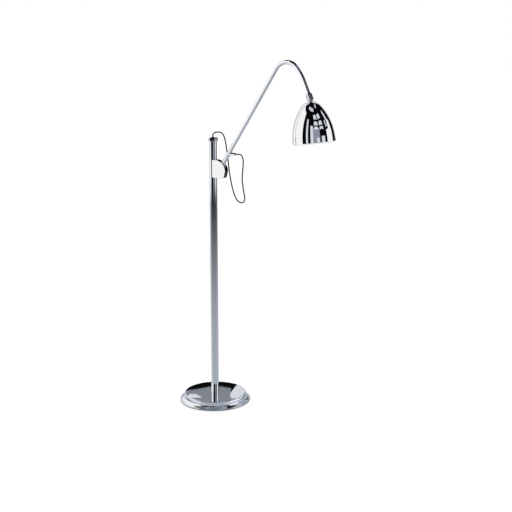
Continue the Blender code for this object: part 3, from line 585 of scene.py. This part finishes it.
# Arm -------------------------------------------------------------------------------------------
def arm_path():
    """Points of the arm's centreline, from the pivot to the ball's centre."""
    path = [(PIVOT.x, PIVOT.z, ARM_ANGLE)]

    def run(length, steps):
        x, z, heading = path[-1]
        for i in range(1, steps + 1):
            step = length * i / steps
            path.append((x + step * math.cos(heading), z + step * math.sin(heading), heading))

    def bend(radius, until, steps):
        x, z, heading = path[-1]
        middle_x = x + radius * math.sin(heading)
        middle_z = z - radius * math.cos(heading)
        for i in range(1, steps + 1):
            a = heading + (until - heading) * i / steps
            path.append((middle_x - radius * math.sin(a), middle_z + radius * math.cos(a), a))

    run(ARM_STRAIGHT, 24)
    bend(BEND_RADIUS, BEND_END, 64)
    bend(SWEEP_RADIUS, ARM_END_ANGLE, 20)
    run(ARM_TAIL, 2)
    return [Vector((x, 0, z)) for x, z, _ in path]


def build_arm(path):
    ball = path[-1]
    up = Vector((math.cos(ARM_ANGLE), 0, math.sin(ARM_ANGLE)))
    tail = Vector((math.cos(ARM_END_ANGLE), 0, math.sin(ARM_END_ANGLE)))
    clipped = [PIVOT + 0.0105 * up] + path[1:-2] + [ball - 0.0160 * tail]
    tube = swept_mesh("arm_tube", clipped, ARM_RADIUS, 64, ARM_RADIUS - ARM_WALL, Vector((0, 1, 0)))
    piece("arm_tube", tube, "arm", "chrome")

    up_arm = Matrix.Translation(PIVOT) @ Matrix.Rotation(math.pi / 2 - ARM_ANGLE, 4, "Y")
    disc = rounded(((0, -0.0072), (0.0078, -0.0072, 0.0006), (0.0078, 0.0072, 0.0006), (0, 0.0072)), False)
    knuckle = moved(lathe_mesh("arm_knuckle", disc, 64, False), along_y(PIVOT.x, 0, PIVOT.z))
    stem = ARM_RADIUS - ARM_WALL - FIT
    knuckle = carve(knuckle, moved(rod_mesh("stem", stem, 0.0030, 0.0320), up_arm), "UNION")
    knuckle = carve(knuckle, moved(rod_mesh("hole", 0.0033, -0.010, 0.010), along_y(PIVOT.x, 0, PIVOT.z)))
    piece("arm_knuckle", knuckle, "arm", "zinc_steel", flats=True)

    rise = OUTLET_HEIGHT - PIVOT.z
    crossing = rise / math.tan(ARM_ANGLE)
    mouth = OUTLET_MOUTH - PIVOT.x
    to_mouth = along_x(PIVOT.x, 0, OUTLET_HEIGHT)
    foot = crossing + 0.0040
    outlet = rounded((
        (0, foot), (0.0070, foot), (0.0070, foot + 0.0070, 0.0012), (OUTLET_RADIUS, foot + 0.0092, 0.0010),
        (OUTLET_RADIUS, mouth, 0.0006), (0, mouth)), False)
    outlet = moved(lathe_mesh("cord_outlet", outlet, 64, False), to_mouth)
    outlet = carve(outlet, moved(rod_mesh("saddle", ARM_RADIUS + 0.0001, -0.02, 0.14, 96), up_arm))
    seat = mouth - 0.0045
    clear = mouth + 0.0100
    bore = ((0, foot), (0.0031, foot), (0.0031, seat), (0.0046, seat), (0.0046, clear), (0, clear))
    outlet = carve(outlet, moved(lathe_mesh("bore", bore, 48, False), to_mouth))
    piece("cord_outlet", outlet, "arm", "chrome", flats=True, group="spigot")
    grommet = rounded((
        (0.0028, mouth - 0.0042), (0.0043, mouth - 0.0042), (0.0043, mouth + FIT),
        (0.0054, mouth + FIT, 0.0002), (0.0050, mouth + 0.0014, 0.0005), (0.0028, mouth + 0.0016, 0.0004)))
    piece("outlet_grommet", lathe_mesh("outlet_grommet", grommet, 48), "arm", "black_rubber", to_mouth)


# Neck ------------------------------------------------------------------------------------------
def build_neck(ball):
    upright = Matrix.Translation(ball) @ Matrix.Rotation(-math.pi / 2 - ARM_END_ANGLE, 4, "Y")
    sleeve = rounded((
        (SLEEVE_BORE, -0.0025, 0.0003), (SLEEVE_RADIUS, -0.0025, 0.0012), (SLEEVE_RADIUS, 0.0202, 0.0012),
        (ARM_RADIUS + 0.0011, 0.0236, 0.0004), (ARM_RADIUS + FIT, 0.0236, 0.0002),
        (ARM_RADIUS + FIT, 0.0162, 0.0002), (SLEEVE_BORE, 0.0162, 0.0002)), True, 8)
    sleeve = lathe_mesh("neck_sleeve", sleeve, 96)
    for side, turn in (("front", math.pi), ("rear", 0.0)):
        outward = Matrix.Rotation(turn, 4, "Z") @ along_y()
        sleeve = carve(sleeve, moved(rod_mesh("pin_hole", 0.0018, 0.0080, 0.0130, 32), outward))
        pin = rounded(((0, 0.0062), (0.0015, 0.0062, 0.0002), (0.0015, SLEEVE_RADIUS - 0.0002, 0.0005),
                       (0, SLEEVE_RADIUS - 0.0002)), False)
        pin = lathe_mesh("tilt_pin_" + side, pin, 32, False)
        piece("tilt_pin_" + side, pin, "neck", "chrome", upright @ outward)
    piece("neck_sleeve", sleeve, "neck", "chrome", upright, True)


# Shade and lamp holder -------------------------------------------------------------------------
def shade_profile():
    """Outside of the shade as (radius, distance below its flat top), down to the bead."""
    points = [(SHADE_NECK, 0.0)]

    def sweep(radius, start, stop, steps):
        r, down = points[-1]
        a0 = math.radians(start)
        for i in range(1, steps + 1):
            a = math.radians(start + (stop - start) * i / steps)
            points.append((r + radius * (math.sin(a) - math.sin(a0)),
                           down + radius * (math.cos(a0) - math.cos(a))))

    for shade_arc in SHADE_ARCS:
        sweep(*shade_arc)
    return points


def build_shade(ball):
    upright = Matrix.Translation(ball) @ Matrix.Rotation(-SHADE_LEAN, 4, "Y")
    top = -BALL_TO_SHADE

    swivel = [(0.0030, math.sqrt(BALL_RADIUS**2 - 0.0030**2))]
    swivel += arc(0, 0, BALL_RADIUS, 70, -49, 36)
    swivel += [(0.0062, top + FIT), (0.0048, top + FIT)]
    swivel += [(0.0048, top - 0.0200), (0.0030, top - 0.0200)]
    swivel = lathe_mesh("swivel_ball", swivel, 96)
    for turn in (math.pi, 0.0):
        outward = Matrix.Rotation(turn, 4, "Z") @ along_y()
        swivel = carve(swivel, moved(rod_mesh("ball_hole", 0.0019, 0.0055, 0.0120, 32), outward))
    piece("swivel_ball", swivel, "shade", "chrome", upright)

    outside = shade_profile()
    edge_r, edge_down = outside[-1]
    straight = SHADE_LENGTH - 2 * BEAD_RADIUS
    bead_r = edge_r - BEAD_RADIUS + 0.0016
    bead_down = straight + BEAD_RADIUS
    inside = [(edge_r - SHADE_WALL, bead_down - 0.0012)]
    for radius, down in reversed(outside):
        inside.append((max(radius - SHADE_WALL, 0.0052), down + SHADE_WALL * (1 - down / edge_down)))
    profile = [(0.0052, 0.0), (0.0135, 0.0)] + outside + [(edge_r, bead_down - 0.0012)] + inside
    profile += [(0.0120, SHADE_WALL), (0.0052, SHADE_WALL)]
    mesh = lathe_mesh("shade", [(radius, top - down) for radius, down in profile], 160)
    mesh.materials.append(LOOKS["chrome"])
    mesh.materials.append(LOOKS["white_enamel"])
    for face in mesh.polygons:
        reach = math.hypot(face.center.x, face.center.y)
        outward = face.normal.x * face.center.x + face.normal.y * face.center.y
        down = top - face.center.z
        inner_wall = outward < -0.05 * reach and reach > 0.0150 and down < straight
        inner_top = face.normal.z < -0.9 and down < 0.01
        if inner_wall or inner_top:
            face.material_index = 1
    piece("shade", mesh, "shade", "chrome", upright)
    bead = [(radius, top - down) for radius, down in arc(bead_r, bead_down, BEAD_RADIUS - 0.0001, 0, 345, 24)]
    piece("shade_bead", lathe_mesh("shade_bead", bead, 160), "shade", "chrome", upright, group="bead",
          replaces=False)

    def inside_shade(name, points, slot, closed=True, steps=64):
        profile = [(point[0], top - point[1], *point[2:]) for point in points]
        mesh = lathe_mesh(name, rounded(profile, closed), steps, closed)
        piece(name, mesh, "shade", slot, upright)

    inside_shade("shade_nut", (
        (0.0051, 0.0016), (0.0090, 0.0016, 0.0002), (0.0090, 0.0050, 0.0006), (0.0051, 0.0050, 0.0002)),
        "zinc_steel")
    inside_shade("holder_cup", (
        (0.0051, 0.0054), (0.0150, 0.0054, 0.0020), (0.0175, 0.0080, 0.0016), (0.0175, 0.0190, 0.0003),
        (0.0163, 0.0190, 0.0003), (0.0163, 0.0088, 0.0012), (0.0145, 0.0068, 0.0010), (0.0051, 0.0068)),
        "brass")
    shell = [(0.0163, 0.0193, 0.0002), (0.0175, 0.0193, 0.0003), (0.0175, 0.0228, 0.0003),
             (0.0171, 0.0234, 0.0003), (0.0175, 0.0240, 0.0003), (0.0175, 0.0498, 0.0003),
             (0.0171, 0.0504, 0.0003), (0.0175, 0.0510, 0.0003), (0.0175, 0.0520, 0.0004),
             (0.0163, 0.0520, 0.0004)]
    inside_shade("holder_shell", shell, "brass")

    cap = [(0, 0.0304), (0.0045, 0.0304, 0.0008), (0.0075, 0.0325, 0.0006), (0.0126, 0.0345, 0.0006)]
    for turn in range(5):
        start = 0.0352 + 0.0036 * turn
        cap += [(0.0126, start, 0.0007), (0.0131, start + 0.0009, 0.0007), (0.0131, start + 0.0018, 0.0007),
                (0.0126, start + 0.0027, 0.0007)]
    cap += [(0.0131, 0.0540, 0.0003), (0.0131, 0.0548, 0.0003), (0, 0.0548)]
    inside_shade("bulb_cap", cap, "zinc_steel", False)

    globe = 0.1085
    thick = 0.0010
    neck = [(0.0133, 0.0552), (0.0136, 0.0590), (0.0142, 0.0645), (0.0155, 0.0700), (0.0175, 0.0760),
            (0.0199, 0.0815), (0.0225, 0.0868)]
    outer = arc(0, globe, BULB_RADIUS, 90, -36, 32)
    inner = arc(0, globe, BULB_RADIUS - thick, -36, 90, 32)
    wall = outer + neck[::-1] + [(radius - thick, down) for radius, down in neck] + inner
    wall[0] = (0, globe + BULB_RADIUS)
    wall[-1] = (0, globe + BULB_RADIUS - thick)
    inside_shade("bulb_glass", wall, "frosted_glass", False, 96)


# Cord ------------------------------------------------------------------------------------------
def smooth_route(points, spacing):
    """Evenly spaced points on a Catmull-Rom curve through the route's points."""
    knots = [Vector(p) for p in points]
    ends = [2 * knots[0] - knots[1]] + knots + [2 * knots[-1] - knots[-2]]
    fine = []
    for a, b, c, d in zip(ends, ends[1:], ends[2:], ends[3:]):
        for i in range(20):
            t = i / 20.0
            fine.append(0.5 * (2 * b + (c - a) * t + (2 * a - 5 * b + 4 * c - d) * t**2
                               + (3 * b - a - 3 * c + d) * t**3))
    fine.append(knots[-1])
    lengths = [0.0]
    for a, b in zip(fine, fine[1:]):
        lengths.append(lengths[-1] + (b - a).length)
    count = max(2, round(lengths[-1] / spacing))
    even = []
    j = 0
    for i in range(count + 1):
        want = lengths[-1] * i / count
        while j < len(fine) - 2 and lengths[j + 1] < want:
            j += 1
        share = (want - lengths[j]) / max(lengths[j + 1] - lengths[j], 1e-9)
        even.append(fine[j].lerp(fine[j + 1], min(share, 1.0)))
    return even


def build_cord():
    """The cord hangs in one loop: the drop from the cap to the low point, and the tail up to the outlet."""
    line = smooth_route(CORD_ROUTE, CORD_STEP)
    low = Vector(CORD_ROUTE[CORD_LOW_POINT])
    split = min(range(len(line)), key=lambda i: (line[i] - low).length)
    hand_over = low.z + 0.0060       # a height just above the cord's low point
    below_cap = CORD_ROUTE[0][2] + 0.0120
    below_mouth = CORD_ROUTE[-1][2] - 0.0040
    lengths = (
        ("cord_drop", line[:split + 1], ("post", "hub"), below_cap, hand_over),
        ("cord_tail", line[split:], ("hub", "arm"), hand_over, below_mouth),
    )
    for name, points, bodies, start, end in lengths:
        made = piece(name, swept_mesh(name, points, CORD_RADIUS, 20), None, "cord_pvc")
        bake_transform(made)


# Studio ----------------------------------------------------------------------------------------
def place_camera():
    data = bpy.data.cameras.new("camera")
    data.lens = CAMERA_LENS
    data.sensor_width = 36.0
    data.clip_end = 60.0
    camera = bpy.data.objects.new("camera", data)
    bpy.context.collection.objects.link(camera)
    camera.location = CAMERA_PLACE
    camera.rotation_euler = (math.pi / 2 + CAMERA_PITCH, 0.0, CAMERA_HEADING)
    bpy.context.scene.camera = camera


def adding_light(name):
    """A material that adds its light and lets what lies behind it through, and its Emission node."""
    made = bpy.data.materials.new(name)
    made.use_nodes = True
    nodes = made.node_tree.nodes
    link = made.node_tree.links.new
    nodes.clear()
    out = nodes.new("ShaderNodeOutputMaterial")
    light = nodes.new("ShaderNodeEmission")
    clear = nodes.new("ShaderNodeBsdfTransparent")
    both = nodes.new("ShaderNodeAddShader")
    link(light.outputs["Emission"], both.inputs[0])
    link(clear.outputs["BSDF"], both.inputs[1])
    link(both.outputs["Shader"], out.inputs["Surface"])
    return made, light


def glow(name, colour, fade=None):
    """A card's material. With fade, its light grows from none to full between those two heights."""
    made, light = adding_light(name)
    light.inputs["Color"].default_value = (*colour, 1.0)
    if fade:
        nodes = made.node_tree.nodes
        link = made.node_tree.links.new
        where = nodes.new("ShaderNodeTexCoord")
        split = nodes.new("ShaderNodeSeparateXYZ")
        grow = map_range(nodes, *fade, smooth=True)
        link(where.outputs["Object"], split.inputs["Vector"])
        link(split.outputs["Z"], grow.inputs["Value"])
        link(grow.outputs["Result"], light.inputs["Strength"])
    return made


def only_mirrored(card, group):
    """Only reflections in that group's pieces see this card."""
    card.visible_camera = False
    card.visible_diffuse = False
    card.visible_transmission = False
    card.visible_volume_scatter = False
    card.visible_shadow = False
    card.light_linking.receiver_collection = receivers[group]


def stage_object(name, bm, look):
    """Ends a bmesh as an object of the studio."""
    mesh = bpy.data.meshes.new(name)
    bm.to_mesh(mesh)
    bm.free()
    mesh.materials.append(look)
    made = bpy.data.objects.new(name, mesh)
    bpy.context.collection.objects.link(made)
    return made


CARD_STEP = 3             # degrees between a sky card's points
BEHIND = 3.0              # from the post to the flat cards behind the lamp


def sky_card(name, look, group, azimuth, elevation, droop=0.0):
    """A card on its group's sphere, whose azimuths start at the camera's side and grow from -Y towards +X.

    droop lowers its two ends. Angles are in degrees."""
    middle, distance = GROUP_SPHERES[group]
    bm = bmesh.new()
    across = max(2, round(abs(azimuth[1] - azimuth[0]) / CARD_STEP))
    up = max(2, round(abs(elevation[1] - elevation[0]) / CARD_STEP))
    grid = []
    for i in range(across + 1):
        share = i / across
        a = math.radians(azimuth[0] + (azimuth[1] - azimuth[0]) * share) + VIEW_AZIMUTH
        sag = droop * (2 * share - 1) ** 2
        column = []
        for j in range(up + 1):
            el = math.radians(elevation[0] + (elevation[1] - elevation[0]) * j / up - sag)
            away = Vector((math.sin(a) * math.cos(el), -math.cos(a) * math.cos(el), math.sin(el)))
            column.append(bm.verts.new(Vector(middle) + distance * away))
        grid.append(column)
    for left, right in zip(grid, grid[1:]):
        for j in range(up):
            bm.faces.new((left[j], right[j], right[j + 1], left[j + 1]))
    only_mirrored(stage_object(name, bm, look), group)


def back_card(name, look, group, corners):
    """A flat card behind the lamp. Its corners are (right of the lamp, height) as the camera faces it."""
    towards = Vector((math.sin(VIEW_AZIMUTH), -math.cos(VIEW_AZIMUTH), 0))
    right = Vector((math.cos(VIEW_AZIMUTH), math.sin(VIEW_AZIMUTH), 0))
    bm = bmesh.new()
    bm.faces.new([bm.verts.new(r * right - BEHIND * towards + Vector((0, 0, z))) for r, z in corners])
    only_mirrored(stage_object(name, bm, look), group)


# Tones of the cards, the room and the floors.
WHITE = (1.0, 1.0, 1.0)
LIGHT = (0.74, 0.77, 0.80)
SOFT = (0.62, 0.65, 0.69)
BLUE_GREY = (0.24, 0.27, 0.335)
WALL_GREY = (0.285, 0.305, 0.365)
EDGE_GREY = (0.45, 0.46, 0.48)
CREAM = (0.93, 0.91, 0.85)
WARM_GREY = (0.26, 0.23, 0.225)
STEEL_BLUE = (0.50, 0.57, 0.68)
UMBER = (0.017, 0.014, 0.012)
BACK_GREY = (0.235, 0.255, 0.285)
ROOM_DARK = (0.003, 0.003, 0.004)
FLOOR_TINT = (0.93, 0.99, 1.10)

# The panes of a window overhead, in degrees; the droop lowers their ends.
PANE_COLUMNS = ((-2, 22), (31, 55))
PANE_ROWS = ((26, 31), (34, 42), (47, 57))
PANE_DROOP = 2.0

POST_FADE = (0.02, 0.32)  # the heights between which the post's cards fade in

# Cards as (tone, azimuths, elevations) in degrees.
CARDS = {
    "shade": (
        (EDGE_GREY, (-180, -151), (-14, 24)),
        (WHITE, (-180, -151), (24, 50)),
        (WHITE, (-151, -70), (-14, 50)),
        (SOFT, (-141, -112), (50, 60)),
        (LIGHT, (-49, -38.5), (-9.6, 42)),
        (LIGHT, (-24.5, -10), (-9.6, 31)),
        (WALL_GREY, (-10, 27), (8, 27)),
        (WALL_GREY, (-10, 9), (-9.6, 8)),
        (WALL_GREY, (24, 27), (-9.6, 8)),
        (WALL_GREY, (9, 24), (-9.6, -3)),
        (LIGHT, (9, 24), (-3, 8)),
        (LIGHT, (36, 55), (-3, 12)),
        (WHITE, (70, 111), (-2, 21)),
        (WHITE, (90, 113), (21, 27)),
        (LIGHT, (93, 107), (27, 46)),
        (SOFT, (74, 84), (25, 36)),
        (SOFT, (-60, 10), (64, 73)),
        (SOFT, (60, 115), (66, 75)),
        (SOFT, (143, 170), (0, 60)),
        *((LIGHT, column, row) for column in PANE_COLUMNS for row in PANE_ROWS),
    ),
    "post": (
        (SOFT, (-180, -112), (-12, 60)),
        (WHITE, (-112, -62), (-12, 60)),
        (BLUE_GREY, (-2, 40), (-12, 35)),
        (WHITE, (57, 99), (-12, 45)),
        (SOFT, (150, 180), (-12, 40)),
    ),
    "hub": (
        (WHITE, (-180, -60), (-12, 55)),
        (WHITE, (-56, -33), (-14, 4)),
        (BLUE_GREY, (6, 28), (-12, 40)),
        (BLUE_GREY, (72, 86), (-12, 45)),
        (BLUE_GREY, (142, 160), (8, 50)),
    ),
    "arm": (
        (WHITE, (-168, -27), (-14, 64)),
        (SOFT, (-27, -16), (-14, 15)),
        (BLUE_GREY, (-14, 58), (24, 29)),
        (BLUE_GREY, (0, 125), (41, 49)),
    ),
    "cap": (
        (LIGHT, (-180, -80), (-12, 50)),
        (UMBER, (-80, 36), (-12, 50)),
        (WARM_GREY, (36, 150), (-12, 50)),
    ),
    "spigot": (
        (WHITE, (-180, 180), (-88, 12)),
    ),
    "bead": (
        (WHITE, (-180, 180), (-12, 75)),
        (CREAM, (-180, 180), (-88, -12)),
    ),
    "base": (
        (STEEL_BLUE, (-176, -165), (3, 50)),
        (WHITE, (-165, -57), (2, 50)),
        (STEEL_BLUE, (-50, -34), (3, 16)),
        (STEEL_BLUE, (-30, -12), (3, 16)),
        (BLUE_GREY, (-4, 36), (2, 45)),
        (STEEL_BLUE, (40, 53), (3, 16)),
        (WHITE, (57, 98), (2, 45)),
        (STEEL_BLUE, (104, 128), (3, 16)),
        (STEEL_BLUE, (104, 128), (25, 50)),
        (STEEL_BLUE, (132, 174), (3, 16)),
        (STEEL_BLUE, (132, 174), (25, 50)),
        (STEEL_BLUE, (-40, 60), (50, 60)),
        (STEEL_BLUE, (-180, 180), (68, 76)),
    ),
}


# Flat cards behind the lamp, which the base's top mirrors: a name, a tone and corners.
BACK_CARDS = (
    ("back_grey", BACK_GREY, (
        (-0.6, 1.100), (-0.24, 1.098), (-0.12, 1.082), (-0.05, 1.069), (0.05, 1.069), (0.125, 1.084),
        (0.116, 1.15), (0.13, 1.168), (0.6, 1.168), (0.6, 1.198), (-0.6, 1.198))),
    ("back_lip", SOFT, ((-0.6, 1.200), (0.6, 1.200), (0.6, 1.50), (-0.6, 1.50))),
    ("back_blob_right", LIGHT, (
        (0.172, 1.055), (0.30, 1.00), (0.30, 1.12), (0.19, 1.168), (0.13, 1.168), (0.116, 1.15),
        (0.120, 1.12), (0.150, 1.08))),
    ("back_blob_left", SOFT, ((-0.205, 1.125), (-0.155, 1.125), (-0.10, 1.155), (-0.215, 1.155))),
)


def build_cards():
    for group, cards in CARDS.items():
        fade = POST_FADE if group == "post" else None
        looks = {tone: glow("card_" + group, tone, fade) for tone in {card[0] for card in cards}}
        for i, (tone, azimuth, elevation) in enumerate(cards):
            droop = PANE_DROOP if group == "shade" and elevation in PANE_ROWS else 0.0
            sky_card(f"{group}_card_{i}", looks[tone], group, azimuth, elevation, droop)
    for name, tone, corners in BACK_CARDS:
        back_card(name, glow(name, tone), "base", corners)


# Floors that only mirrors see: a name, the group that mirrors it, its radius, its light as (distance, tone)
# stops, and the side, shares and spread that floor_glow explains.
EVEN = (None, (1.0, 1.0), (0.0, 1.0))
FLOOR_LIGHTS = (
    ("floor", "floor", 9.0,
     ((0.0, 0.47), (1.0, 0.40), (1.8, 0.33), (2.9, 0.22), (3.9, 0.155), (5.5, 0.065), (9.0, 0.0)),
     *EVEN),
    ("left", "post", 9.0,
     ((0.0, 0.20), (1.5, 0.20), (3.0, 0.30), (6.0, 0.55), (7.5, 0.5), (9.0, 0.0)),
     -125, (0.0, 1.0), (0.45, 0.95)),
    ("right", "post", 9.0,
     ((0.0, 0.10), (4.0, 0.06), (6.5, 0.10), (9.0, 0.0)), 125, (0.0, 1.0), (0.25, 0.95)),
    ("all", "arm", 9.0,
     ((0.0, 0.06), (1.5, 0.10), (3.0, 0.19), (9.0, 0.19)), -95, (1.0, 4.8), (0.60, 0.90)),
    ("all", "hub", 9.0,
     ((0.0, 0.20), (1.0, 0.20), (2.5, 0.08), (9.0, 0.04)), -95, (0.5, 3.0), (-0.3, 0.6)),
    ("all", "base", 9.0,
     ((0.0, 0.10), (0.158, 0.12), (0.170, 0.45), (1.0, 0.42), (9.0, 0.10)), *EVEN),
    ("near_right", "base", 1.0,
     ((0.0, 0.0), (0.160, 0.0), (0.180, 0.55), (0.9, 0.0)), 100, (0.0, 1.0), (0.1, 0.8)),
    ("near_left", "base", 1.0,
     ((0.0, 0.0), (0.160, 0.0), (0.180, 0.40), (0.9, 0.0)), -100, (0.0, 1.0), (0.1, 0.8)),
)
FLOOR_GAP = 0.00004       # between one such floor and the next, so that none lies in another's plane
ARM_FLOOR_X = 0.40        # the arm's floor lies under the middle of the arm's reach
PAPER_HEIGHT = -0.0004
PAPER_GLOW = 0.46         # emission strength


def floor_glow(name, stops, reach, side=None, share=(1.0, 1.0), spread=(0.0, 1.0)):
    """The look of a floor that only mirrors see: its light changes with the distance from its middle.

    With side, an azimuth in degrees, the light also goes from share[0] to share[1] towards that side, while
    the cosine of the angle from it goes from spread[0] to spread[1]."""
    made, light = adding_light(name)
    nodes = made.node_tree.nodes
    link = made.node_tree.links.new
    where = nodes.new("ShaderNodeTexCoord")
    length = nodes.new("ShaderNodeVectorMath")
    length.operation = "LENGTH"
    scale = nodes.new("ShaderNodeMath")
    scale.operation = "MULTIPLY"
    scale.inputs[1].default_value = 1.0 / reach
    ramp = nodes.new("ShaderNodeValToRGB")
    link(where.outputs["Object"], length.inputs[0])
    link(length.outputs["Value"], scale.inputs[0])
    link(scale.outputs["Value"], ramp.inputs["Fac"])
    link(ramp.outputs["Color"], light.inputs["Color"])
    elements = ramp.color_ramp.elements
    while len(elements) < len(stops):
        elements.new(0.5)
    for element, (place, tone) in zip(elements, stops):
        element.position = place / reach
        element.color = (*(tone * channel for channel in FLOOR_TINT), 1.0)
    if side is not None:
        a = math.radians(side) + VIEW_AZIMUTH
        unit = nodes.new("ShaderNodeVectorMath")
        unit.operation = "NORMALIZE"
        along = nodes.new("ShaderNodeVectorMath")
        along.operation = "DOT_PRODUCT"
        along.inputs[1].default_value = (math.sin(a), -math.cos(a), 0.0)
        grow = map_range(nodes, *spread, *share, smooth=True)
        link(where.outputs["Object"], unit.inputs[0])
        link(unit.outputs["Vector"], along.inputs[0])
        link(along.outputs["Value"], grow.inputs["Value"])
        link(grow.outputs["Result"], light.inputs["Strength"])
    return made


def disc(name, radius, height, look):
    bm = bmesh.new()
    bmesh.ops.create_circle(bm, cap_ends=True, radius=radius, segments=96)
    made = stage_object(name, bm, look)
    made.location.z = height
    return made


def build_paper():
    """The pale floor that the camera sees and mirrors don't."""
    paper = bpy.data.materials.new("studio_paper")
    paper.use_nodes = True
    shader = paper.node_tree.nodes["Principled BSDF"]
    shader.inputs["Base Color"].default_value = (0.60, 0.60, 0.60, 1.0)
    shader.inputs["Roughness"].default_value = 0.9
    shader.inputs["Specular IOR Level"].default_value = 0.0
    shader.inputs["Emission Color"].default_value = (1.0, 1.0, 1.0, 1.0)
    shader.inputs["Emission Strength"].default_value = PAPER_GLOW
    floor = disc("studio_floor", 40.0, PAPER_HEIGHT, paper)
    floor.visible_glossy = False


def build_floor_lights():
    for i, (name, group, reach, *light) in enumerate(FLOOR_LIGHTS):
        look = floor_glow("floor_" + name, light[0], reach, *light[1:])
        glowing = disc(f"floor_{group}_{name}", reach, -FLOOR_GAP * (i + 1), look)
        glowing.location.x = ARM_FLOOR_X if group == "arm" else 0.0
        only_mirrored(glowing, group)


def build_world():
    """A white room to the eye and for soft light, and a dark one in mirrors."""
    world = bpy.data.worlds.new("studio_world")
    world.use_nodes = True
    bpy.context.scene.world = world
    nodes = world.node_tree.nodes
    link = world.node_tree.links.new
    rays = nodes.new("ShaderNodeLightPath")
    mixed = nodes.new("ShaderNodeMix")
    mixed.data_type = "RGBA"
    factor, seen, mirrored = (mixed.inputs[i] for i in (0, 6, 7))    # the sockets of a colour mix
    seen.default_value = (*WHITE, 1.0)
    mirrored.default_value = (*ROOM_DARK, 1.0)
    link(rays.outputs["Is Glossy Ray"], factor)
    link(mixed.outputs[2], nodes["Background"].inputs["Color"])
    bpy.context.scene.view_settings.view_transform = "Standard"


def main():
    place_camera()
    build_cord()
    dress_cad_nodes()
    build_base()
    build_post()
    build_hub()
    path = arm_path()
    build_arm(path)
    build_neck(path[-1])
    build_shade(path[-1])
    build_paper()
    build_floor_lights()
    build_world()
    build_cards()


main()
